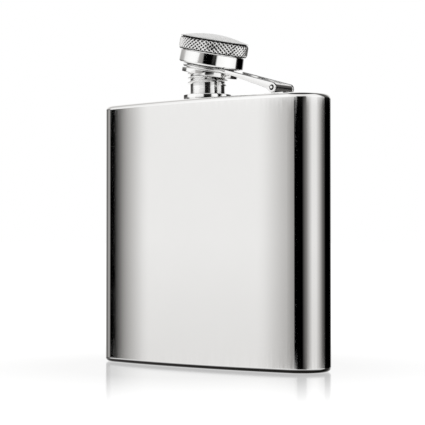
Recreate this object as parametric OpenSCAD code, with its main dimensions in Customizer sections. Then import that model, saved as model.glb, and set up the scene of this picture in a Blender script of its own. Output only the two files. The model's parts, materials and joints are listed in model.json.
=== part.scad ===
// Curved hip flask with a captive screw cap on a hinged arm.
// The origin is on the base plane, on the axis of the spout. +Z is up, +X points at
// the hinge, and the bowed front face looks along -Y. The cap is drawn unscrewed and
// lifted, resting on the lip of the spout.

/* [Body] */
// Width of the body, side to side
body_w = 96; // [88:1:110]
// Height of the body, from the base to the top plate
body_h = 92.5; // [80:0.5:140]
// Thickness of the body, front to back
body_t = 20; // [20:0.5:26]
// Radius of the bow that the body follows round the hip
bow_r = 233; // [180:1:400]
// Thickness of the sheet that the body is made of
wall = 0.7; // [0.5:0.1:0.8]
// Rounding of the top and bottom rims
rim_r = 1.6; // [1.3:0.1:2]
// Depth of the two pressed end plates
pan_depth = 6; // [4:0.5:10]

/* [Spout] */
// Radius of the pouring bore
bore_r = 4.9; // [4.5:0.1:5.2]
// Outer radius of the plain part of the spout
spout_r = 6.1; // [6:0.05:6.3]
// Height of the spout above the top plate
spout_h = 11; // [10.8:0.1:11]
// Outer radius of the thread crests
crest_r = 7.05; // [6.7:0.05:7.1]
// Distance between thread crests
pitch = 1.6; // [1.5:0.1:1.6]
// Number of thread crests
crests = 3; // [2:1:3]
// Radius of the collar round the foot of the spout
collar_r = 8.5; // [8:0.1:8.8]
// Height of the collar
collar_h = 1.75; // [1.2:0.05:1.75]

/* [Hinge] */
// Distance from the spout's axis to the hinge pin
hinge_x = 32; // [31:0.5:34]
// Height of the hinge pin above the top plate
hinge_up = 2.2; // [2.1:0.05:2.6]
// Radius of the hinge pin
pin_r = 0.8; // [0.7:0.05:0.8]
// Outer radius of the round eyes on the arm
eye_r = 1.7; // [1.6:0.05:1.75]
// Width of the arm over its two flanges
arm_w = 10.4; // [9.6:0.2:10.8]
// Thickness of the arm's side flanges
flange_t = 0.8; // [0.6:0.05:0.8]
// Angle by which the cap is lifted from its closed place
lift = 12; // [11:1:20]

/* [Cap] */
// Outer radius of the knurled band
knurl_r = 12; // [11.8:0.1:12.4]
// Height of the knurled band
knurl_h = 4.2; // [4:0.1:5]
// Height of the dome above its rim
dome_h = 2; // [1.5:0.1:2.5]
// Radius of the skirt at its foot
skirt_r = 11.35; // [11.2:0.05:11.4]
// Height of the polished skirt under the knurled band
skirt_h = 4.4; // [4:0.1:4.8]
// Outer radius of the ring that holds the cap in the arm
keeper_r = 9.8; // [9.5:0.1:10]
// Height of that ring
keeper_h = 1.6; // [1.4:0.1:1.7]

/* [Hidden] */
$fn = 96;

gap = 0.3;                                   // room between pieces that move past each other
fit = 0.05;                                  // room in a joint that fits
cut = 1;                                     // how far a cutting shape runs past what it cuts
end_r = body_t / 2;                          // round ends of the body in plan
bow_a = asin((body_w / 2 - end_r) / bow_r);  // half the angle that the bow covers

// Spout levels, above the top plate
foot_r = 8;                                  // flange under the collar
foot_h = 0.4;
crest_h = 0.9;                               // height of one thread ridge at its root
crest_z = 5.5;                               // lowest crest
lip_h = 0.5;                                 // bevel at the mouth

// Cap levels, above the top plate, with the cap closed
sleeve_in = 7.9;                             // bore that passes over the spout
sleeve_out = 8.4;
keeper_z = collar_h + gap;
arm_z = keeper_z + keeper_h + gap;           // underside of the arm's ring
arm_t = 0.6;                                 // sheet of the arm
dish_h = 0.55;                               // height of the skirt's dished underside
skirt_z = arm_z + arm_t + gap + dish_h;
knurl_z = skirt_z + skirt_h;
knurl_top = knurl_z + knurl_h;
seal_z = spout_h + gap;
seal_h = 1;
plate_h = 0.5;
seal_plate_z = seal_z + seal_h;
shell_t = 0.8;                               // wall of the cap's cover and skirt
skirt_top_r = skirt_r - 0.35;
spigot_r = skirt_top_r - 0.15;               // where the skirt fits inside the cover
inner_r = spigot_r - shell_t;

// Arm, from the pin at the origin towards -X
ring_r = keeper_r - 0.2;
ring_hole_r = sleeve_out + gap;
flange_x = hinge_x - sqrt(skirt_r * skirt_r - pow(arm_w / 2 - flange_t, 2)) - 0.4;
flange_h = 1.2;
web_x = eye_r + 0.6;                         // where the web stops short of the knuckle
knuckle_r = 1.5;
leaf_t = 0.6;                                // sheet that is rolled into the knuckle
knuckle_w = arm_w - 2 * flange_t - 2 * gap;
base_t = 0.5;

// Section of a slab, centred on x = 0, from z0 to z1, with rounded upper corners
module section(half, z0, z1, round_r) {
    translate([-half, z0]) square([2 * half, z1 - z0 - round_r]);
    if (round_r > 0) {
        translate([-half + round_r, z0]) square([2 * (half - round_r), z1 - z0]);
        for (side = [-1, 1]) translate([side * (half - round_r), z1 - round_r]) circle(round_r);
    }
}

// Right half of a slab with the body's outline, drawn in by inset: half of the bowed strip,
// and a round end that starts on the strip's own end face
module half_slab(inset, z0, z1, round_r) {
    half = end_r - inset;
    intersection() {
        translate([0, bow_r, 0]) rotate([0, 0, bow_a - 90]) {
            mirror([0, 1, 0]) rotate_extrude(angle = bow_a + 1, $fn = 720)
                translate([bow_r, 0]) section(half, z0, z1, round_r);
            translate([bow_r, 0, 0]) rotate_extrude(angle = 180)
                intersection() {
                    section(half, z0, z1, round_r);
                    translate([0, z0 - cut]) square([half + cut, z1 - z0 + 2 * cut]);
                }
        }
        translate([0, -body_w, z0 - cut]) cube([body_w, 2 * body_w, z1 - z0 + 2 * cut]);
    }
}

// The whole slab, from z0 to z1
module slab(inset, z0, z1, round_r = 0) {
    half_slab(inset, z0, z1, round_r);
    mirror([1, 0, 0]) half_slab(inset, z0, z1, round_r);
}

// A pressed end plate, open at z = 0 and closed at the top with a rounded rim
module pan()
    difference() {
        slab(0, 0, pan_depth, rim_r);
        slab(wall, -cut, pan_depth - wall, rim_r - wall);
    }

// Puts a piece drawn closed, with z = 0 on the top plate, into its lifted place
module lifted() {
    translate([hinge_x, 0, body_h + hinge_up]) rotate([0, lift, 0])
        translate([-hinge_x, 0, -hinge_up]) children();
}

// A plain ring from z0 to z1
module ring(outer, inner, z0, z1) {
    difference() {
        translate([0, 0, z0]) cylinder(r = outer, h = z1 - z0);
        translate([0, 0, z0 - cut]) cylinder(r = inner, h = z1 - z0 + 2 * cut);
    }
}

// Rolled wall of the body, open at both ends
module body_sleeve() color("gainsboro")
    difference() {
        slab(0, pan_depth, body_h - pan_depth);
        slab(wall, pan_depth - cut, body_h - pan_depth + cut);
    }

// Pressed top with the hole for the spout
module top_plate() color("silver") translate([0, 0, body_h - pan_depth])
    difference() {
        pan();
        cylinder(r = spout_r + fit, h = pan_depth + cut);
    }

// Pressed base, the same plate turned over and left whole
module bottom_plate() color("silver") translate([0, 0, pan_depth]) mirror([0, 0, 1]) pan();

// Spout with its foot flange and rolled thread ridges
module spout() color("lightgray") translate([0, 0, body_h])
    difference() {
        union() {
            translate([0, 0, -wall]) cylinder(r = spout_r, h = spout_h + wall - lip_h);
            translate([0, 0, spout_h - lip_h]) cylinder(r1 = spout_r, r2 = spout_r - lip_h, h = lip_h);
            cylinder(r = foot_r, h = foot_h);
            for (i = [0:crests - 1]) translate([0, 0, crest_z + i * pitch]) thread_ridge();
        }
        translate([0, 0, -wall - cut]) cylinder(r = bore_r, h = spout_h + wall + 2 * cut);
    }

// One ridge of the thread, centred on z = 0
module thread_ridge()
    for (side = [0, 1]) mirror([0, 0, side]) cylinder(r1 = crest_r, r2 = spout_r - 0.1, h = crest_h / 2);

// Turned collar that hides the foot of the spout
module spout_collar() color("lightgray") translate([0, 0, body_h])
    difference() {
        cylinder(r = collar_r, h = collar_h);
        translate([0, 0, -cut]) cylinder(r = foot_r + fit, h = foot_h + fit + cut);
        cylinder(r = spout_r + fit, h = collar_h + cut);
    }

// Foot plate, upright leaf and rolled knuckle that the pin passes through
module hinge_bracket() color("darkgray") translate([hinge_x, 0, body_h])
    difference() {
        union() {
            translate([-knuckle_r, -knuckle_w / 2, 0]) cube([leaf_t, knuckle_w, hinge_up]);
            translate([-4, -knuckle_w / 2, 0]) cube([8, knuckle_w, base_t]);
            translate([0, knuckle_w / 2, hinge_up]) rotate([90, 0, 0])
                cylinder(r = knuckle_r, h = knuckle_w);
        }
        translate([0, knuckle_w / 2 + cut, hinge_up]) rotate([90, 0, 0])
            cylinder(r = pin_r + 0.02, h = knuckle_w + 2 * cut);
    }

// Pin with bevelled ends, standing a little proud of the eyes
module hinge_pin() color("dimgray") translate([hinge_x, 0, body_h + hinge_up])
    for (side = [-1, 1]) rotate([side * 90, 0, 0]) {
        cylinder(r = pin_r, h = arm_w / 2);
        translate([0, 0, arm_w / 2]) cylinder(r1 = pin_r, r2 = pin_r - 0.25, h = 0.25);
    }

// Side view of one flange, from the eye on the pin up to the cap
module flange_side() {
    far_low = arm_z - hinge_up;
    difference() {
        union() {
            circle(eye_r);
            polygon([[-flange_x, far_low], [-flange_x, far_low + flange_h], [0, eye_r], [0, -eye_r],
                     [-web_x, -0.6]]);
        }
        circle(pin_r + 0.06);
    }
}

// Arm: a ring under the cap, a sloping web, and two flanges that end in eyes
module cap_arm() color("gainsboro") lifted() {
    far_low = arm_z - hinge_up;
    slope_x = hinge_x - sqrt(ring_r * ring_r - pow(arm_w / 2, 2));
    difference() {
        union() {
            translate([0, 0, arm_z]) cylinder(r = ring_r, h = arm_t);
            translate([hinge_x, arm_w / 2, hinge_up]) rotate([90, 0, 0]) linear_extrude(arm_w)
                polygon([[-slope_x - 2, far_low], [-slope_x - 2, far_low + arm_t],
                         [-slope_x, far_low + arm_t], [-web_x, arm_t + 0.1], [-web_x, 0.1],
                         [-slope_x, far_low]]);
            for (y = [flange_t - arm_w / 2, arm_w / 2])
                translate([hinge_x, y, hinge_up]) rotate([90, 0, 0]) linear_extrude(flange_t)
                    flange_side();
        }
        translate([0, 0, arm_z - cut]) cylinder(r = ring_hole_r, h = arm_t + 2 * cut);
    }
}

// Domed cover with the band that is gripped, grooved under the dome
module cap_cover() color("silver") lifted() {
    dome_r = knurl_r - 0.1;
    ball_r = (dome_r * dome_r + dome_h * dome_h) / (2 * dome_h);
    groove_h = 0.35;
    difference() {
        union() {
            translate([0, 0, knurl_z]) cylinder(r = knurl_r, h = knurl_h);
            translate([0, 0, knurl_top]) cylinder(r = knurl_r - 0.4, h = groove_h);
            intersection() {
                translate([0, 0, knurl_top + groove_h + dome_h - ball_r]) sphere(r = ball_r, $fn = 200);
                translate([0, 0, knurl_top + groove_h]) cylinder(r = knurl_r, h = dome_h + cut);
            }
        }
        translate([0, 0, knurl_z - cut]) cylinder(r = spigot_r + fit, h = knurl_h + cut);
        intersection() {
            translate([0, 0, knurl_top + groove_h + dome_h - ball_r])
                sphere(r = ball_r - shell_t, $fn = 200);
            translate([0, 0, knurl_top - cut]) cylinder(r = spigot_r + fit, h = dome_h + 2 * cut);
        }
    }
}

// Polished skirt, slightly flared, with a dished underside and a spigot inside the cover
module cap_skirt() color("gainsboro") lifted()
    difference() {
        union() {
            translate([0, 0, skirt_z]) cylinder(r1 = skirt_r, r2 = skirt_top_r, h = skirt_h);
            translate([0, 0, skirt_z - dish_h]) cylinder(r1 = sleeve_out + gap, r2 = skirt_r, h = dish_h);
            translate([0, 0, skirt_z]) cylinder(r = spigot_r, h = seal_plate_z + plate_h - skirt_z);
        }
        translate([0, 0, skirt_z + shell_t]) cylinder(r = inner_r, h = skirt_h + knurl_h);
        translate([0, 0, skirt_z - dish_h - cut]) cylinder(r = sleeve_out + fit, h = shell_t + dish_h + 2 * cut);
    }

// Threaded sleeve that passes through the arm's ring, with a flange at its top
module cap_sleeve() color("lightgray") lifted()
    difference() {
        union() {
            translate([0, 0, keeper_z]) cylinder(r = sleeve_out, h = seal_plate_z - keeper_z);
            translate([0, 0, seal_plate_z - arm_t]) cylinder(r = inner_r - fit, h = arm_t);
        }
        translate([0, 0, keeper_z - cut]) cylinder(r = sleeve_in, h = seal_plate_z);
    }

// Ring fixed round the foot of the sleeve, under the arm
module cap_keeper() color("gainsboro") lifted()
    ring(keeper_r, sleeve_out + 0.02, keeper_z, keeper_z + keeper_h);

// Soft disc that seals on the lip of the spout
module cap_seal() color("white") lifted()
    translate([0, 0, seal_z]) cylinder(r = sleeve_in - fit, h = seal_h);

// Stiff disc behind the seal
module cap_seal_plate() color("silver") lifted()
    translate([0, 0, seal_plate_z]) cylinder(r = inner_r - fit, h = plate_h);

body_sleeve();
top_plate();
bottom_plate();
spout();
spout_collar();
hinge_bracket();
hinge_pin();
cap_arm();
cap_cover();
cap_skirt();
cap_sleeve();
cap_keeper();
cap_seal();
cap_seal_plate();
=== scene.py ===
"""Looks of the hip flask: polished sheet body, threaded spout, knurled captive cap and its hinge."""

import json
import math

import bpy
from mathutils import Matrix, Vector
from mathutils.geometry import tessellate_polygon


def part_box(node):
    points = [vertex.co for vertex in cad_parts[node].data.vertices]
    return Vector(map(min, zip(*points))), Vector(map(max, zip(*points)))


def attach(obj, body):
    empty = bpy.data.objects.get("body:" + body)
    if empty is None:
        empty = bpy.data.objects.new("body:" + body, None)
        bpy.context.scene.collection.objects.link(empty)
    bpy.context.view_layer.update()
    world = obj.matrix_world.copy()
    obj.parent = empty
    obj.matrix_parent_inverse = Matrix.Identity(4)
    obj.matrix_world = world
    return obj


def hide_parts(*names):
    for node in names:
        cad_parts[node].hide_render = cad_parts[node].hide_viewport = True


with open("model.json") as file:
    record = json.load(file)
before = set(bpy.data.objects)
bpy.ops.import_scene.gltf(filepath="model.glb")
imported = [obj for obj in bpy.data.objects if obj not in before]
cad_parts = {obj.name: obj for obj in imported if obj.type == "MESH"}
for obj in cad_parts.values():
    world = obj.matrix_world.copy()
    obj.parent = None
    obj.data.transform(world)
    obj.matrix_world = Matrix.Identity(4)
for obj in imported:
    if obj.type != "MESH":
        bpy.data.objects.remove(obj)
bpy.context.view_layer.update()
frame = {"nodes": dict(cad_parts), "record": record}

MM = 0.001

# ---------------------------------------------------------------- sizes read from the frame
joints = {joint["name"]: joint for joint in frame["record"]["behaviour"]["joints"]}
pin = Vector(joints["arm_hinge"]["pos_m"])
lift = math.radians(-joints["arm_hinge"]["range_deg"][0])
top_lo, top_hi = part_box("top_plate")
plate_z = top_hi[2]
half_w = (top_hi[0] - top_lo[0]) / 2
half_t = -top_lo[1]
end_lift = top_hi[1] - half_t          # how far the round ends stand back
end_x = half_w - half_t
bow_r = (end_x ** 2 + end_lift ** 2) / (2 * end_lift)
bow_a = math.asin(end_x / bow_r)
rim_r = 1.6 * MM                       # rounding of the body's two rims
wall = 0.7 * MM
spout_lo, spout_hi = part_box("spout")
collar_lo, collar_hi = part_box("spout_collar")
collar_r = (collar_hi[0] - collar_lo[0]) / 2
spout_r = 6.1 * MM
bore_r = 4.9 * MM
crest_r = 7.05 * MM                    # over the spout's thread
thread_pitch = 1.6 * MM
slip = 0.05 * MM                       # gap where one piece sits inside another

# Cap levels above the top plate, with the cap closed, as in the design
KEEPER = (2.05 * MM, 3.65 * MM)
SKIRT = (5.40 * MM, 9.80 * MM)
KNURL = (9.80 * MM, 14.0 * MM)
SEAL = (11.3 * MM, 12.3 * MM)
SEAL_PLATE = (12.3 * MM, 12.8 * MM)
knurl_r = 12.0 * MM
skirt_foot_r = 11.32 * MM
skirt_top_r = 11.12 * MM
spigot_r = 10.85 * MM
inner_r = 10.05 * MM
keeper_r = 9.8 * MM
sleeve_out = 8.4 * MM
sleeve_in = 7.9 * MM
dome_h = 2.0 * MM
groove_h = 0.35 * MM                   # between the knurl and the dome
dish_h = 0.55 * MM                     # how far the skirt's underside bulges down

# Arm, as in the design
arm_z = KEEPER[1] + 0.3 * MM           # underside of its ring
arm_t = 0.6 * MM
arm_w = 10.4 * MM
flange_t = 0.8 * MM
flange_h = 1.2 * MM
eye_r = 1.7 * MM
web_x = eye_r + 0.6 * MM
ring_r = keeper_r - 0.2 * MM
ring_hole_r = sleeve_out + 0.3 * MM
hinge_up = pin.z - plate_z
pin_r = 0.8 * MM
design_skirt_r = 11.35 * MM
# How far from the pin the flanges and the sloping web begin
flange_x = pin.x - math.sqrt(design_skirt_r ** 2 - (arm_w / 2 - flange_t) ** 2) - 0.4 * MM
slope_x = pin.x - math.sqrt(ring_r ** 2 - (arm_w / 2) ** 2)

# Places for pieces that are drawn about the spout's axis, with height 0 on the top plate
lifted = (Matrix.Translation(pin) @ Matrix.Rotation(lift, 4, "Y")
          @ Matrix.Translation(Vector((-pin.x, 0, plate_z - pin.z))))
on_plate = Matrix.Translation(Vector((0, 0, plate_z)))


# ---------------------------------------------------------------- node helpers
def new_material(name):
    """A new material with its nodes, its links and its Principled shader."""
    mat = bpy.data.materials.new(name)
    mat.use_nodes = True
    nodes = mat.node_tree.nodes
    return mat, nodes, mat.node_tree.links, nodes["Principled BSDF"]


def mapped_noise(nodes, links, scale, stretch=(1, 1, 1), detail=3.0):
    """Noise in the object's own coordinates, stretched along the axes."""
    coords = nodes.new("ShaderNodeTexCoord")
    mapping = nodes.new("ShaderNodeMapping")
    mapping.inputs["Scale"].default_value = stretch
    noise = nodes.new("ShaderNodeTexNoise")
    noise.inputs["Scale"].default_value = scale
    noise.inputs["Detail"].default_value = detail
    links.new(coords.outputs["Object"], mapping.inputs["Vector"])
    links.new(mapping.outputs["Vector"], noise.inputs["Vector"])
    return noise.outputs["Fac"]


def ramp(nodes, links, source, low, high, start=0.35, end=0.65):
    """Goes from low to high as source goes from start to end."""
    node = nodes.new("ShaderNodeMapRange")
    node.inputs["From Min"].default_value = start
    node.inputs["From Max"].default_value = end
    node.inputs["To Min"].default_value = low
    node.inputs["To Max"].default_value = high
    links.new(source, node.inputs["Value"])
    return node.outputs["Result"]


def two_tone(nodes, links, factor, first, second):
    """A colour that wanders between two near tones."""
    mix = nodes.new("ShaderNodeMix")
    mix.data_type = "RGBA"
    mix.inputs["A"].default_value = (*first, 1)
    mix.inputs["B"].default_value = (*second, 1)
    links.new(factor, mix.inputs["Factor"])
    return mix.outputs["Result"]


def object_place(nodes, links):
    """The place on the piece, split into X, Y and Z."""
    split = nodes.new("ShaderNodeSeparateXYZ")
    links.new(nodes.new("ShaderNodeTexCoord").outputs["Object"], split.inputs["Vector"])
    return split.outputs


def bump(nodes, links, shader, height, distance):
    node = nodes.new("ShaderNodeBump")
    node.inputs["Strength"].default_value = 1.0
    node.inputs["Distance"].default_value = distance
    links.new(height, node.inputs["Height"])
    links.new(node.outputs["Normal"], shader.inputs["Normal"])


def darkened(nodes, links, colour, amount):
    """Colour, brought down towards near black as painted shade as amount goes from 1 to 0."""
    mix = nodes.new("ShaderNodeMix")
    mix.data_type = "RGBA"
    mix.inputs["A"].default_value = (0.012, 0.011, 0.010, 1)
    links.new(amount, mix.inputs["Factor"])
    links.new(colour, mix.inputs["B"])
    return mix.outputs["Result"]


def cut_edges(nodes, links):
    """Painted shade: 0 on the arm's flange edges that face up, a painted reflection of the dark overhead they
    would mirror, and 1 elsewhere.
    """
    inner_y = arm_w / 2 - flange_t
    facing = nodes.new("ShaderNodeSeparateXYZ")
    links.new(nodes.new("ShaderNodeNewGeometry").outputs["Normal"], facing.inputs["Vector"])
    aside = nodes.new("ShaderNodeMath")
    aside.operation = "ABSOLUTE"
    links.new(object_place(nodes, links)["Y"], aside.inputs[0])
    on_flange = ramp(nodes, links, aside.outputs["Value"], 0.0, 1.0, inner_y - 0.1 * MM, inner_y + 0.05 * MM)
    up = ramp(nodes, links, facing.outputs["Z"], 0.0, 1.0, 0.2, 0.4)
    both = nodes.new("ShaderNodeMath")
    both.operation = "MULTIPLY"
    links.new(on_flange, both.inputs[0])
    links.new(up, both.inputs[1])
    return ramp(nodes, links, both.outputs["Value"], 1.0, 0.0, 0.0, 1.0)


def steel(name, tint, rough_low, rough_high, grain, grain_scale, bump_height=0.0, shade=None):
    """Stainless steel: a little tint and roughness variation, and a fine grain in the bump.

    shade is "groove" for painted shade in the hollows, by how open a mesh says each point is, "cut_edges" for
    painted shade on the sheet edges that face up on the arm, or a pair of heights between which a foot comes
    out of its painted shadow.
    """
    mat, nodes, links, shader = new_material(name)
    shader.inputs["Metallic"].default_value = 1.0
    clouds = mapped_noise(nodes, links, 60)
    colour = two_tone(nodes, links, clouds, [c * 0.97 for c in tint], tint)
    light = None
    if shade == "groove":
        depth = nodes.new("ShaderNodeAttribute")
        depth.attribute_name = "groove"
        light = ramp(nodes, links, depth.outputs["Fac"], 0.0, 1.0, 0.38, 0.66)
    elif shade == "cut_edges":
        light = cut_edges(nodes, links)
    elif shade:
        light = ramp(nodes, links, object_place(nodes, links)["Z"], 0.0, 1.0, *shade)
    # Painted shade: the colour goes towards near black where light goes to 0.
    if light is not None:
        colour = darkened(nodes, links, colour, light)
    links.new(colour, shader.inputs["Base Color"])
    fine = mapped_noise(nodes, links, grain_scale, grain, 4.0)
    links.new(ramp(nodes, links, fine, rough_low, rough_high), shader.inputs["Roughness"])
    if bump_height > 0:
        bump(nodes, links, shader, fine, bump_height)
    return mat


def painted_gap_shade():
    """Near-black painted shade for the grooves and gaps between turned pieces, where shade falls."""
    mat, nodes, links, shader = new_material("groove_painted_shade")
    shader.inputs["Metallic"].default_value = 0.6
    # A faint mottle in the painted shade's near-black tone.
    mottle = mapped_noise(nodes, links, 1500)
    colour = two_tone(nodes, links, mottle, (0.006, 0.006, 0.006), (0.02, 0.019, 0.018))
    links.new(colour, shader.inputs["Base Color"])
    shader.inputs["Roughness"].default_value = 0.55
    return mat


def silicone():
    """The pale soft seal inside the cap."""
    mat, nodes, links, shader = new_material("seal_silicone")
    grain = mapped_noise(nodes, links, 700)
    colour = two_tone(nodes, links, grain, (0.74, 0.73, 0.69), (0.84, 0.83, 0.80))
    links.new(colour, shader.inputs["Base Color"])
    links.new(ramp(nodes, links, grain, 0.42, 0.6), shader.inputs["Roughness"])
    bump(nodes, links, shader, grain, 0.02 * MM)
    return mat


# ---------------------------------------------------------------- mesh helpers
def add_object(name, verts, faces, material, body, slot, replaced):
    """A piece that rides on a body and stands in for the design's nodes named in replaced."""
    mesh = bpy.data.meshes.new(name)
    mesh.from_pydata([tuple(v) for v in verts], [], faces)
    mesh.validate()
    obj = bpy.data.objects.new(name, mesh)
    bpy.context.scene.collection.objects.link(obj)
    mesh.materials.append(material)
    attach(obj, body)
    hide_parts(*replaced)
    return obj


def set_openness(obj, values):
    """Stores how open each point is, from 0 in a groove to 1 on a crest, which sets the painted shade in the
    hollows.
    """
    layer = obj.data.attributes.new("groove", "FLOAT", "POINT")
    layer.data.foreach_set("value", values)


def smooth(obj, angle=32):
    """Smooth shading that stays crisp over edges sharper than the angle."""
    obj.data.shade_smooth()
    obj.data.set_sharp_from_angle(angle=math.radians(angle))
    flat = obj.modifiers.new("flat_faces", "WEIGHTED_NORMAL")
    flat.keep_sharp = True
    return obj


def bevelled(points, size, steps=3):
    """Rounds each corner of a closed outline of (r, z) points by size, given per point."""
    out = []
    count = len(points)
    for i, (corner, reach) in enumerate(zip(points, size)):
        here = Vector(corner)
        if reach <= 0:
            out.append(tuple(here))
            continue
        before = Vector(points[i - 1]) - here
        after = Vector(points[(i + 1) % count]) - here
        start = here + before.normalized() * reach
        end = here + after.normalized() * reach
        for k in range(steps + 1):
            t = k / steps
            point = start * (1 - t) ** 2 + here * 2 * t * (1 - t) + end * t ** 2
            out.append(tuple(point))
    return out


def turned(outline, place, segments=128):
    """Turns a closed (r, z) outline about Z and puts it in place."""
    verts = []
    for k in range(segments):
        a = 2 * math.pi * k / segments
        for r, z in outline:
            verts.append(place @ Vector((r * math.cos(a), r * math.sin(a), z)))
    n = len(outline)
    faces = []
    for k in range(segments):
        nxt = (k + 1) % segments
        for j in range(n):
            faces.append((k * n + j, nxt * n + j, nxt * n + (j + 1) % n, k * n + (j + 1) % n))
    return verts, faces


def turned_disc(outline, place, segments=128):
    """Turns an open (r, z) outline whose two ends lie on the axis."""
    verts = [place @ Vector((0, 0, outline[0][1]))]
    inner = outline[1:-1]
    n = len(inner)
    for k in range(segments):
        a = 2 * math.pi * k / segments
        for r, z in inner:
            verts.append(place @ Vector((r * math.cos(a), r * math.sin(a), z)))
    verts.append(place @ Vector((0, 0, outline[-1][1])))
    last = len(verts) - 1
    faces = []
    for k in range(segments):
        here, nxt = 1 + k * n, 1 + ((k + 1) % segments) * n
        faces.append((0, nxt, here))
        for j in range(n - 1):
            faces.append((here + j, nxt + j, nxt + j + 1, here + j + 1))
        faces.append((here + n - 1, nxt + n - 1, last))
    return verts, faces


def circle(radius, count, clockwise=False):
    """Points round a circle, one way or the other."""
    points = []
    for k in range(count):
        a = (-1 if clockwise else 1) * 2 * math.pi * k / count
        points.append((radius * math.cos(a), radius * math.sin(a)))
    return points


def pressed(verts, faces, loops, low, high, edge, place):
    """Sheet cut to loops of (u, v) points, from low to high along w, with softened edges.

    The first loop is the outline, anticlockwise, and the others are holes, clockwise.
    """
    steps = 3
    stations = [(edge * (1 - math.sin(a)), low + edge * (1 - math.cos(a)))
                for a in (math.pi / 2 * k / steps for k in range(steps + 1))]
    stations += [(inset, low + high - w) for inset, w in reversed(stations)]
    rims = ([], [])
    for loop in loops:
        count = len(loop)
        out = []
        for k, (u, v) in enumerate(loop):
            before = (Vector((u, v)) - Vector(loop[k - 1])).normalized()
            after = (Vector(loop[(k + 1) % count]) - Vector((u, v))).normalized()
            side = Vector((before.y + after.y, -before.x - after.x)).normalized()
            out.append(side / max(0.5, side.dot(Vector((before.y, -before.x)))))
        first = len(verts)
        for inset, w in stations:
            verts += [place @ Vector((u - n.x * inset, v - n.y * inset, w)) for (u, v), n in zip(loop, out)]
        for s in range(len(stations) - 1):
            for k in range(count):
                a, b = first + s * count + k, first + s * count + (k + 1) % count
                faces.append((a, b, b + count, a + count))
        rims[0].append((first, [(u - n.x * edge, v - n.y * edge, 0) for (u, v), n in zip(loop, out)]))
        rims[1].append((len(verts) - count, rims[0][-1][1]))
    for rim, up in zip(rims, (False, True)):
        index = [first + k for first, flat in rim for k in range(len(flat))]
        spots = [Vector(point) for _, flat in rim for point in flat]
        for tri in tessellate_polygon([[Vector(point) for point in flat] for _, flat in rim]):
            a, b, c = (spots[i] for i in tri)
            corners = [index[i] for i in tri]
            if ((b - a).cross(c - a).z > 0) != up:
                corners.reverse()
            faces.append(tuple(corners))


# ---------------------------------------------------------------- body
def outline_points():
    """Points and outward normals round the body's outline, anticlockwise from above."""
    centre = Vector((0, bow_r))
    points = []

    def arc(middle, radius, first, last, steps, inward=False):
        for k in range(steps):
            a = first + (last - first) * k / steps
            out = Vector((math.cos(a), math.sin(a)))
            points.append((middle + out * radius, -out if inward else out))

    down = -math.pi / 2
    arc(centre, bow_r + half_t, down - bow_a, down + bow_a, 120)
    right = centre + bow_r * Vector((math.cos(down + bow_a), math.sin(down + bow_a)))
    arc(right, half_t, down + bow_a, down + bow_a + math.pi, 72)
    arc(centre, bow_r - half_t, down + bow_a, down - bow_a, 120, inward=True)
    left = centre + bow_r * Vector((math.cos(down - bow_a), math.sin(down - bow_a)))
    arc(left, half_t, down - bow_a - math.pi, down - bow_a, 72)
    return points


def body_stations():
    """Inset, height and upward lean of the normal, from the base's rim up to the top's rim."""
    out = []
    steps = 10
    for k in range(steps + 1):
        t = math.pi / 2 * k / steps
        out.append((rim_r * (1 - math.sin(t)), rim_r * (1 - math.cos(t)), t - math.pi / 2))
    levels = 12
    for k in range(1, levels):
        out.append((0.0, rim_r + (plate_z - 2 * rim_r) * k / levels, 0.0))
    for k in range(steps + 1):
        t = math.pi / 2 * k / steps
        out.append((rim_r * (1 - math.cos(t)), plate_z - rim_r * (1 - math.sin(t)), t))
    return out


def body_shell(material):
    """Outer skin, inner skin and the wall of the spout's hole, as one closed mesh."""
    rim = outline_points()
    count = len(rim)
    verts, normals, faces, lit = [], [], [], []

    def skin(stations, flip):
        first = len(verts)
        sign = -1 if flip else 1
        for inset, z, lean in stations:
            for point, out in rim:
                spot = point - out * inset
                verts.append(Vector((spot.x, spot.y, z)))
                level = out * math.cos(lean)
                normals.append(sign * Vector((level.x, level.y, math.sin(lean))))
        for s in range(len(stations) - 1):
            for k in range(count):
                a, b = first + s * count + k, first + s * count + (k + 1) % count
                quad = (a, b, b + count, a + count)
                faces.append(quad[::-1] if flip else quad)
                lit.append(True)
        return first, first + (len(stations) - 1) * count

    def lid(start, z, up, hole):
        ring = list(range(start, start + count))
        loops = [[verts[i] for i in ring]]
        index = list(ring)
        if hole:
            loops.append([verts[i] for i in hole])
            index += hole
        for tri in tessellate_polygon(loops):
            corners = [index[i] for i in tri]
            a, b, c = (verts[i] for i in corners)
            if ((b - a).cross(c - a).z > 0) != up:
                corners.reverse()
            faces.append(tuple(corners))
            lit.append(False)

    outer_low, outer_high = skin(body_stations(), False)
    fillet = 0.3 * MM
    inner_stations = [(wall + fillet, wall, -math.pi / 2), (wall, wall + fillet, 0.0),
                      (wall, plate_z - wall - fillet, 0.0), (wall + fillet, plate_z - wall, math.pi / 2)]
    inner_low, inner_high = skin(inner_stations, True)
    holes = []
    hole = circle(spout_r + slip, 96)
    for z in (plate_z, plate_z - wall):
        first = len(verts)
        verts += [Vector((x, y, z)) for x, y in hole]
        normals += [Vector((0, 0, 1))] * len(hole)
        holes.append(list(range(first, first + len(hole))))
    lid(outer_low, 0, False, None)
    lid(outer_high, plate_z, True, holes[0])
    lid(inner_low, wall, True, None)
    lid(inner_high, plate_z - wall, False, holes[1])
    for k in range(len(hole)):
        nxt = (k + 1) % len(hole)
        faces.append((holes[0][k], holes[0][nxt], holes[1][nxt], holes[1][k]))
        lit.append(False)
    obj = add_object("flask_body", verts, faces, material, "flask", "polished_steel",
                     ("body_sleeve", "top_plate", "bottom_plate"))
    mesh = obj.data
    mesh.shade_smooth()
    loops = []
    for poly in mesh.polygons:
        for i in poly.vertices:
            loops.append(normals[i] if lit[poly.index] else poly.normal.copy())
    mesh.normals_split_custom_set([tuple(n) for n in loops])


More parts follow.
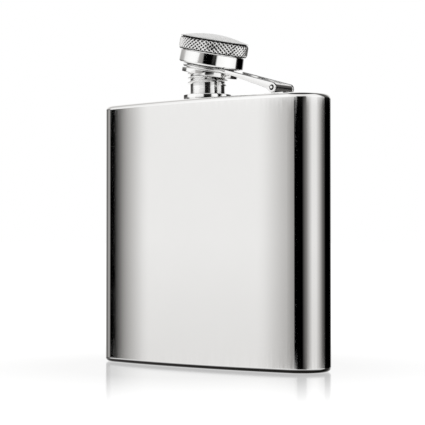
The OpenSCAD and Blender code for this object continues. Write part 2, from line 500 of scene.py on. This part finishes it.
# ---------------------------------------------------------------- spout
def spout_radius(angle, z, first, turns):
    """Outer radius of the spout at an angle and a height: a rolled thread with faded ends."""
    along = (z - first) / thread_pitch - angle / (2 * math.pi)
    nearest = round(along)
    start = nearest + angle / (2 * math.pi)
    fade = max(0.0, min(1.0, start * 4, (turns - start) * 4))
    offset = abs(along - nearest) * thread_pitch
    half_ridge = 0.52 * MM
    ridge = max(0.0, 1 - offset / half_ridge)
    rounded = math.sin(ridge * math.pi / 2) ** 0.9
    return spout_r + (crest_r - spout_r) * rounded * fade


def spout_mesh(material):
    """Closed tube with a foot under its collar, a thread and a rounded lip."""
    top = spout_hi[2] - plate_z
    low = spout_lo[2] - plate_z
    segments = 144
    levels = 150
    lip = 0.35 * MM
    verts, faces, openness = [], [], []
    thread_first, turns = 5.0 * MM, 2.9
    thread_z = (thread_first - 0.3 * MM, thread_first + turns * thread_pitch)
    foot_r, foot_h = 7.95 * MM, 0.38 * MM
    rings = []
    for z, r in ((low, bore_r), (low, spout_r), (-0.01 * MM, spout_r), (0.0, foot_r), (foot_h, foot_r)):
        rings.append([(r, z)] * segments)
    start_z, end_z = 0.40 * MM, top - lip
    for k in range(levels + 1):
        z = start_z + (end_z - start_z) * k / levels
        rings.append([(spout_radius(2 * math.pi * s / segments, z, thread_first, turns), z)
                      for s in range(segments)])
    for t in (0.25, 0.5, 0.75, 1.0):
        a = t * math.pi / 2
        rings.append([(spout_r - lip * (1 - math.cos(a)), top - lip + lip * math.sin(a))] * segments)
    rings.append([(bore_r + 0.2 * MM, top)] * segments)
    rings.append([(bore_r, top - 0.2 * MM)] * segments)
    for ring in rings:
        for s, (r, z) in enumerate(ring):
            a = 2 * math.pi * s / segments
            verts.append(on_plate @ Vector((r * math.cos(a), r * math.sin(a), z)))
            threaded = thread_z[0] < z < thread_z[1]
            # How open each point is sets the painted shade in the thread's roots.
            openness.append((r - spout_r) / (crest_r - spout_r) + 0.6 if threaded else 1.0)
    n = len(rings)
    for k in range(n):
        for s in range(segments):
            a, b = k * segments + s, k * segments + (s + 1) % segments
            up = (k + 1) % n * segments
            faces.append((a, b, up + (s + 1) % segments, up + s))
    obj = add_object("threaded_spout", verts, faces, material, "flask", "turned_steel", ("spout",))
    set_openness(obj, openness)
    smooth(obj, 40)


# ---------------------------------------------------------------- cap
def knurled_band(verts, faces, openness, low_z, high_z, outer, depth, around, rows):
    """A lattice of four-sided points; returns the indices of its lowest and highest rings."""
    step_z = (high_z - low_z) / (2 * rows)
    lattice = {}

    def vertex(column, row):
        """column counts half pitches round the band, and row counts half diamonds up it."""
        key = (column % (2 * around), row)
        if key not in lattice:
            peak = (key[0] + row) % 2 == 1
            edge = row in (0, 2 * rows)
            r = outer - (0 if peak and not edge else depth * (0.45 if peak else 1.0))
            a = math.pi * key[0] / around
            lattice[key] = len(verts)
            verts.append(lifted @ Vector((r * math.cos(a), r * math.sin(a), low_z + row * step_z)))
            # How open each point is sets the painted shade in the knurl's valleys.
            openness.append(1 - (outer - r) / depth)
        return lattice[key]

    for row in range(2 * rows):
        for column in range(2 * around):
            a, b = vertex(column, row), vertex(column + 1, row)
            c, d = vertex(column + 1, row + 1), vertex(column, row + 1)
            if (column + row) % 2 == 0:
                faces += [(a, b, d), (b, c, d)]
            else:
                faces += [(a, b, c), (a, c, d)]
    low = [vertex(c, 0) for c in range(2 * around)]
    high = [vertex(c, 2 * rows) for c in range(2 * around)]
    return low, high


def cap_cover_mesh(knurled, domed, dark):
    """Knurled band, groove and dome outside, and a plain shell inside."""
    verts, faces, openness = [], [], []
    around, rows = 48, 3
    segments = 2 * around
    band_low, band_high = knurled_band(verts, faces, openness, KNURL[0] + 0.26 * MM, KNURL[1] - 0.1 * MM,
                                       knurl_r - 0.02 * MM, 0.5 * MM, around, rows)
    # The groove between knurl and dome and the inside under the knurl take the near-black painted shade.
    in_knurl, in_dome, in_dark = 0, 1, 2
    finish = [in_knurl] * len(faces)

    def ring(r, z):
        first = len(verts)
        for k in range(segments):
            a = math.pi * k / around
            verts.append(lifted @ Vector((r * math.cos(a), r * math.sin(a), z)))
        openness.extend([1.0] * segments)
        return list(range(first, first + segments))

    def bridge(lower, upper, index):
        for k in range(segments):
            nxt = (k + 1) % segments
            faces.append((lower[k], lower[nxt], upper[nxt], upper[k]))
            finish.append(index)

    def close(last, z, index, up):
        middle = len(verts)
        verts.append(lifted @ Vector((0, 0, z)))
        openness.append(1.0)
        for k in range(segments):
            pair = (last[k], last[(k + 1) % segments])
            faces.append((*(pair if up else pair[::-1]), middle))
            finish.append(index)

    dome_rim = knurl_r - 0.12 * MM
    top = KNURL[1] + groove_h
    ball = (dome_rim ** 2 + dome_h ** 2) / (2 * dome_h)
    groove = [ring(knurl_r - 0.42 * MM, KNURL[1]), ring(knurl_r - 0.8 * MM, KNURL[1] + 0.02 * MM),
              ring(knurl_r - 0.8 * MM, top - 0.05 * MM), ring(dome_rim - 0.15 * MM, top - 0.02 * MM)]
    bridge(band_high, groove[0], in_dark)
    for lower, upper in zip(groove, groove[1:]):
        bridge(lower, upper, in_dark)
    dome = [groove[-1], ring(dome_rim, top + 0.08 * MM), ring(dome_rim - 0.04 * MM, top + 0.2 * MM)]
    arcs = 14
    shoulder = dome_rim - 0.2 * MM
    for k in range(arcs):
        r = shoulder * (1 - k / arcs)
        z = top + dome_h - ball + math.sqrt(ball ** 2 - r ** 2)
        dome.append(ring(r, z + 0.12 * MM * (r / shoulder) ** 8 - 0.02 * MM))
    for lower, upper in zip(dome, dome[1:]):
        bridge(lower, upper, in_dome)
    close(dome[-1], top + dome_h - 0.02 * MM, in_dome, True)
    foot = KNURL[0] + 0.01 * MM
    inside = [ring(knurl_r - 0.56 * MM, foot), ring(spigot_r + slip, foot),
              ring(spigot_r + slip, KNURL[1] - 0.1 * MM), ring(6 * MM, KNURL[1] + 0.7 * MM)]
    bridge(inside[0], band_low, in_dark)
    for lower, upper in zip(inside, inside[1:]):
        bridge(upper, lower, in_dark)
    close(inside[-1], KNURL[1] + 1.2 * MM, in_dome, False)
    obj = add_object("cap_cover_knurled", verts, faces, knurled, "cap", "cap_steel", ("cap_cover",))
    obj.data.materials.append(domed)
    obj.data.materials.append(dark)
    for poly, index in zip(obj.data.polygons, finish):
        poly.material_index = index
        poly.use_smooth = index == in_dome
    set_openness(obj, openness)


def cap_piece(name, mesh, material, slot, node):
    """One turned piece of the cap; mesh is its verts and faces."""
    smooth(add_object(name, *mesh, material, "cap", slot, (node,)))


def cap_pieces(bright, satin):
    """Skirt, keeper ring, threaded sleeve, seal and the disc behind it."""
    seal_r = sleeve_in - slip
    backing_r = inner_r - slip
    dish_z = SKIRT[0] - dish_h
    outline = bevelled([(sleeve_out + slip, dish_z), (sleeve_out + 0.3 * MM, dish_z),
                        (skirt_foot_r, SKIRT[0]), (skirt_top_r, SKIRT[1] - 0.3 * MM),
                        (spigot_r - 0.1 * MM, SKIRT[1] - 0.3 * MM), (spigot_r, SKIRT[1]),
                        (spigot_r, SEAL_PLATE[1]), (inner_r, SEAL_PLATE[1]), (inner_r, SKIRT[0] + 0.8 * MM),
                        (sleeve_out + slip, SKIRT[0] + 0.8 * MM)],
                       [v * MM for v in (0, 0, 0.5, 0.08, 0, 0, 0.1, 0.1, 0, 0)], 6)
    cap_piece("cap_skirt_band", turned(outline, lifted), bright, "cap_steel", "cap_skirt")
    outline = bevelled([(sleeve_out + 0.02 * MM, KEEPER[0]), (keeper_r, KEEPER[0]), (keeper_r, KEEPER[1]),
                        (sleeve_out + 0.02 * MM, KEEPER[1])], [v * MM for v in (0.1, 0.22, 0.22, 0)])
    cap_piece("cap_keeper_ring", turned(outline, lifted), bright, "turned_steel", "cap_keeper")
    cap_piece("cap_threaded_sleeve", turned(sleeve_outline(), lifted), satin, "turned_steel", "cap_sleeve")
    outline = bevelled([(0, SEAL[0]), (seal_r, SEAL[0]), (seal_r, SEAL[1]), (0, SEAL[1])],
                       [v * MM for v in (0, 0.2, 0.2, 0)])
    cap_piece("cap_seal_disc", turned_disc(outline, lifted), silicone(), "seal_silicone", "cap_seal")
    outline = bevelled([(0, SEAL_PLATE[0]), (backing_r, SEAL_PLATE[0]), (backing_r, SEAL_PLATE[1]),
                        (0, SEAL_PLATE[1])], [v * MM for v in (0, 0.1, 0.1, 0)])
    cap_piece("cap_seal_backing", turned_disc(outline, lifted), satin, "turned_steel", "cap_seal_plate")


def sleeve_outline():
    """Section of the sleeve, with the grooves of its female thread cut into the bore."""
    top = SEAL_PLATE[0]
    head_r = inner_r - slip
    points = [(sleeve_in, KEEPER[0]), (sleeve_out, KEEPER[0]), (sleeve_out, top - 0.6 * MM),
              (head_r, top - 0.6 * MM), (head_r, top), (sleeve_in, top)]
    z = top - 1.4 * MM
    while z > KEEPER[0] + 1.2 * MM:
        deepest = (sleeve_in + 0.3 * MM, z - thread_pitch / 4)
        points += [(sleeve_in, z), deepest, (sleeve_in, z - thread_pitch / 2)]
        z -= thread_pitch
    return points


# ---------------------------------------------------------------- arm and hinge
def arm_mesh(material):
    """Ring round the cap's sleeve, sloping web, and two flanges that end in eyes on the pin."""
    verts, faces = [], []
    far_low = arm_z - hinge_up
    pressed(verts, faces, [circle(ring_r, 96), circle(ring_hole_r, 96, True)], arm_z, arm_z + arm_t,
            0.12 * MM, lifted)
    start, end = Vector((-slope_x, far_low)), Vector((-web_x, 0.1 * MM))
    slope = end - start
    half = arm_w / 2 - 0.15 * MM
    web = (lifted @ Matrix.Translation(Vector((pin.x + start.x, 0, hinge_up + start.y)))
           @ Matrix.Rotation(math.atan2(-slope.y, slope.x), 4, "Y"))
    back_r = ring_hole_r + 0.2 * MM                    # the web's back edge follows the ring's hole
    back = []
    for k in range(13):
        y = half * (1 - k / 6)
        back.append((math.sqrt(back_r ** 2 - y ** 2) - (pin.x - slope_x), y))
    pressed(verts, faces, [[(slope.length, -half), (slope.length, half), *back]], 0, arm_t, 0.1 * MM, web)
    side = [(-flange_x, far_low), (-web_x, -0.6 * MM)]
    for k in range(25):
        a = math.radians(-100 + 190 * k / 24)
        side.append((eye_r * math.cos(a), eye_r * math.sin(a)))
    side.append((-flange_x, far_low + flange_h))
    side = bevelled(side, [0.25 * MM] + [0] * (len(side) - 2) + [0.3 * MM])
    upright = lifted @ Matrix.Translation(Vector((pin.x, 0, hinge_up))) @ Matrix.Rotation(math.pi / 2, 4, "X")
    hole = circle(pin_r + 0.06 * MM, 32, True)
    for low in (-arm_w / 2, arm_w / 2 - flange_t):
        pressed(verts, faces, [side, hole], low, low + flange_t, 0.2 * MM, upright)
    smooth(add_object("cap_arm_sheet", verts, faces, material, "arm", "turned_steel", ("cap_arm",)), 50)


def hinge_bracket(bright):
    """The design's bracket, with its edges softened."""
    bracket = frame["nodes"]["hinge_bracket"]
    bracket.data.materials.clear()
    bracket.data.materials.append(bright)
    bevel = bracket.modifiers.new("edges", "BEVEL")
    bevel.width = 0.15 * MM
    bevel.segments = 2
    bevel.limit_method = "ANGLE"
    bevel.angle_limit = math.radians(40)


def hinge_rivet(bright, dark):
    """Pin with flattened heads, each ringed by near-black painted shade where the gap in its eye falls."""
    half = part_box("hinge_pin")[1][1]
    ends = half - 0.1 * MM
    place = Matrix.Translation(pin) @ Matrix.Rotation(math.pi / 2, 4, "X")
    upper = [(pin_r, half - 0.25 * MM), (pin_r - 0.1 * MM, ends), (0.5 * MM, ends),
             (0.4 * MM, half), (0, half)]
    outline = [(r, -z) for r, z in reversed(upper)] + upper
    rivet = add_object("hinge_rivet", *turned_disc(outline, place, 48), bright, "flask", "turned_steel",
                       ("hinge_pin",))
    rivet.data.materials.append(dark)
    for poly in smooth(rivet).data.polygons:
        from_axis = math.hypot(poly.center.x - pin.x, poly.center.z - pin.z)
        # The heads' outer rims take the near-black painted shade of the gap.
        if abs(poly.center.y) > half - 0.3 * MM and from_axis > 0.55 * MM:
            poly.material_index = 1


def spout_collar(bright):
    """Plain turned ring round the spout's foot."""
    top = collar_hi[2] - plate_z
    outline = bevelled([(spout_r + slip, 0), (collar_r, 0), (collar_r, top), (spout_r + slip, top)],
                       [v * MM for v in (0, 0.1, 0.3, 0.1)])
    smooth(add_object("spout_collar_ring", *turned(outline, on_plate), bright, "flask", "turned_steel",
                      ("spout_collar",)))


# ---------------------------------------------------------------- studio
# Grey and black cards: angle in degrees from the camera, anticlockwise from above, and brightness.
# The low ones show in the body, the high ones in the spout and cap, and the room's in raised views.
LOW_CARDS = [(-180, 0.9), (-157, 0.9), (-145, 0.05), (-118, 0.4), (-108, 0.0), (-101, 0.0), (-98, 0.35),
             (-92, 0.8), (-64, 0.8), (-58, 0.45), (-31, 0.3), (-28, 0.0), (2, 0.0), (18, 0.2), (40, 0.75),
             (57, 0.75), (72, 0.45), (86, 0.15), (103, 0.0), (147, 0.0), (170, 0.9), (180, 0.9)]
HIGH_CARDS = [(-180, 0.95), (-158, 0.85), (-150, 0.05), (-114, 0.05), (-109, 0.85), (-100, 0.95), (-60, 0.95),
              (-22, 0.85), (-17, 0.01), (15, 0.01), (20, 0.9), (60, 1.0), (96, 0.9), (101, 0.02), (138, 0.02),
              (148, 0.8), (180, 0.95)]
ROOM_CARDS = [(-180, 0.95), (-150, 0.8), (-138, 0.5), (-122, 0.5), (-108, 0.8), (-70, 0.95), (-25, 0.8),
              (10, 0.72), (45, 0.9), (80, 0.85), (97, 0.06), (128, 0.1), (145, 0.6), (165, 0.9), (180, 0.95)]


def sine(degrees):
    """Height of a direction that rises by this angle."""
    return math.sin(math.radians(degrees))


def studio_world(camera_turn):
    """A white room with grey and black cards, set out by compass angle from the camera."""
    world = bpy.data.worlds.new("studio")
    bpy.context.scene.world = world
    world.use_nodes = True
    nodes, links = world.node_tree.nodes, world.node_tree.links
    nodes.clear()
    coords = nodes.new("ShaderNodeTexCoord")
    split = nodes.new("ShaderNodeSeparateXYZ")
    turn = nodes.new("ShaderNodeVectorRotate")
    turn.rotation_type = "Z_AXIS"
    turn.inputs["Angle"].default_value = -camera_turn
    links.new(coords.outputs["Generated"], turn.inputs["Vector"])
    links.new(turn.outputs["Vector"], split.inputs["Vector"])
    angle = nodes.new("ShaderNodeMath")
    angle.operation = "ARCTAN2"
    links.new(split.outputs["Y"], angle.inputs[0])
    links.new(split.outputs["X"], angle.inputs[1])
    turns = nodes.new("ShaderNodeMapRange")
    turns.inputs["From Min"].default_value = -math.pi
    turns.inputs["From Max"].default_value = math.pi
    links.new(angle.outputs["Value"], turns.inputs["Value"])

    def cards(stops, share=1.0):
        """Brightness by angle from the camera, times share; dim cards are a little warm."""
        node = nodes.new("ShaderNodeValToRGB")
        elements = node.color_ramp.elements
        while len(elements) > 1:
            elements.remove(elements[0])
        for i, (degrees, level) in enumerate(stops):
            position = (degrees + 180) / 360
            element = elements[0] if i == 0 else elements.new(position)
            element.position = position
            level *= share
            element.color = (level, level * (0.965 + 0.035 * level), level * (0.93 + 0.07 * level), 1)
        links.new(turns.outputs["Result"], node.inputs["Fac"])
        return node.outputs["Color"]

    def by_height(source, start, end, lower, upper):
        """Goes from lower to upper, or to near black, as source goes from start to end."""
        node = nodes.new("ShaderNodeMapRange")
        node.inputs["From Min"].default_value = start
        node.inputs["From Max"].default_value = end
        links.new(source, node.inputs["Value"])
        mix = nodes.new("ShaderNodeMix")
        mix.data_type = "RGBA"
        links.new(node.outputs["Result"], mix.inputs["Factor"])
        links.new(lower, mix.inputs["A"])
        if upper is not None:
            links.new(upper, mix.inputs["B"])
        else:
            mix.inputs["B"].default_value = (0.03, 0.03, 0.03, 1)
        return mix.outputs["Result"]

    steep = nodes.new("ShaderNodeMath")
    steep.operation = "ABSOLUTE"
    links.new(split.outputs["Z"], steep.inputs[0])
    height = split.outputs["Z"]
    body_band = by_height(height, -0.08, 0.0, cards(LOW_CARDS, 0.88), cards(LOW_CARDS))
    cap_band = cards(HIGH_CARDS)
    band = by_height(height, sine(5.12), sine(5.28), body_band, cap_band)
    band = by_height(height, sine(-4.8), sine(-4.6), cap_band, band)
    band = by_height(steep.outputs["Value"], sine(9.5), sine(14), band, cards(ROOM_CARDS))
    room_colour = by_height(height, 0.84, 0.92, band, None)
    room = nodes.new("ShaderNodeBackground")
    room.inputs["Strength"].default_value = 1.1
    links.new(room_colour, room.inputs["Color"])
    plain = nodes.new("ShaderNodeBackground")
    plain.inputs["Color"].default_value = (1, 1, 1, 1)
    plain.inputs["Strength"].default_value = 1.0
    path = nodes.new("ShaderNodeLightPath")
    pick = nodes.new("ShaderNodeMixShader")
    out = nodes.new("ShaderNodeOutputWorld")
    links.new(path.outputs["Is Camera Ray"], pick.inputs["Fac"])
    links.new(room.outputs["Background"], pick.inputs[1])
    links.new(plain.outputs["Background"], pick.inputs[2])
    links.new(pick.outputs["Shader"], out.inputs["Surface"])


def floor():
    """Glowing white floor that mirrors faintly close to the flask."""
    mesh = bpy.data.meshes.new("floor")
    reach = 40.0
    corners = [(-reach, -reach, 0), (reach, -reach, 0), (reach, reach, 0), (-reach, reach, 0)]
    mesh.from_pydata(corners, [], [(0, 1, 2, 3)])
    obj = bpy.data.objects.new("floor", mesh)
    bpy.context.scene.collection.objects.link(obj)
    mat = bpy.data.materials.new("floor_gloss_white")
    mat.use_nodes = True
    nodes, links = mat.node_tree.nodes, mat.node_tree.links
    nodes.clear()
    from_flask = nodes.new("ShaderNodeVectorMath")
    from_flask.operation = "LENGTH"
    links.new(nodes.new("ShaderNodeTexCoord").outputs["Object"], from_flask.inputs[0])
    mirror_share = ramp(nodes, links, from_flask.outputs["Value"], 0.55, 0.0, half_w, 3.0 * half_w)
    glow = nodes.new("ShaderNodeEmission")
    glow.inputs["Strength"].default_value = 1.12
    gloss = nodes.new("ShaderNodeBsdfGlossy")
    gloss.inputs["Roughness"].default_value = 0.12
    mix = nodes.new("ShaderNodeMixShader")
    out = nodes.new("ShaderNodeOutputMaterial")
    links.new(mirror_share, mix.inputs["Fac"])
    links.new(glow.outputs["Emission"], mix.inputs[1])
    links.new(gloss.outputs["BSDF"], mix.inputs[2])
    links.new(mix.outputs["Shader"], out.inputs["Surface"])
    mesh.materials.append(mat)
    obj.visible_glossy = False
    obj.location.z = -0.02 * MM


def camera():
    """Three-quarter view from the hinge side, just below mid height; returns its compass angle."""
    turn = math.radians(40)
    distance, height = 0.556, 0.0431
    pitch = 0.0195
    data = bpy.data.cameras.new("camera")
    data.sensor_width = 36                             # mm, like the lens
    data.lens = 135.53
    data.shift_x = 0.0112
    data.shift_y = -0.0035
    data.clip_start = 0.05
    obj = bpy.data.objects.new("camera", data)
    bpy.context.scene.collection.objects.link(obj)
    obj.location = (distance * math.sin(turn), -distance * math.cos(turn), height)
    aim = Vector((-math.sin(turn) * math.cos(pitch), math.cos(turn) * math.cos(pitch), math.sin(pitch)))
    obj.rotation_euler = aim.to_track_quat("-Z", "Y").to_euler()
    bpy.context.scene.camera = obj
    return math.atan2(obj.location.y, obj.location.x)


# ---------------------------------------------------------------- build
def build():
    """Makes each piece in its own finish."""
    # The base rim is painted near black up to 1.1 mm, fading out by 1.6 mm: painted shadow where the foot
    # stands in its own shade.
    polished = steel("polished_steel", (0.95, 0.95, 0.945), 0.03, 0.06, (1, 1, 0.1), 1400,
                     shade=(1.1 * MM, 1.6 * MM))
    bright = steel("bright_steel", (0.95, 0.95, 0.945), 0.04, 0.09, (1, 1, 4), 1200)
    # The arm's flange edges that face up are painted dark, a painted reflection of the dark overhead.
    sheet = steel("arm_steel", (0.92, 0.92, 0.915), 0.06, 0.12, (1, 1, 4), 1200, shade="cut_edges")
    # The spout's thread roots are painted a little darker as shade.
    threaded = steel("threaded_steel", (0.95, 0.95, 0.945), 0.05, 0.1, (1, 1, 4), 1200, shade="groove")
    satin = steel("satin_steel", (0.86, 0.86, 0.85), 0.22, 0.34, (1, 1, 6), 2200, 0.002 * MM)
    # The knurl's valleys are painted darker as shade.
    knurled = steel("knurled_steel", (0.95, 0.95, 0.945), 0.1, 0.16, (1, 1, 1), 2500, shade="groove")
    domed = steel("dome_steel", (0.76, 0.76, 0.755), 0.30, 0.42, (1, 1, 1), 900, 0.001 * MM)
    # Near-black painted shade for the cap's groove and inside and the rivet's gaps.
    dark = painted_gap_shade()
    body_shell(polished)
    spout_mesh(threaded)
    cap_cover_mesh(knurled, domed, dark)
    cap_pieces(bright, satin)
    arm_mesh(sheet)
    hinge_bracket(bright)
    hinge_rivet(bright, dark)
    spout_collar(bright)


bpy.context.scene.view_settings.view_transform = "Standard"
studio_world(camera())
floor()
build()
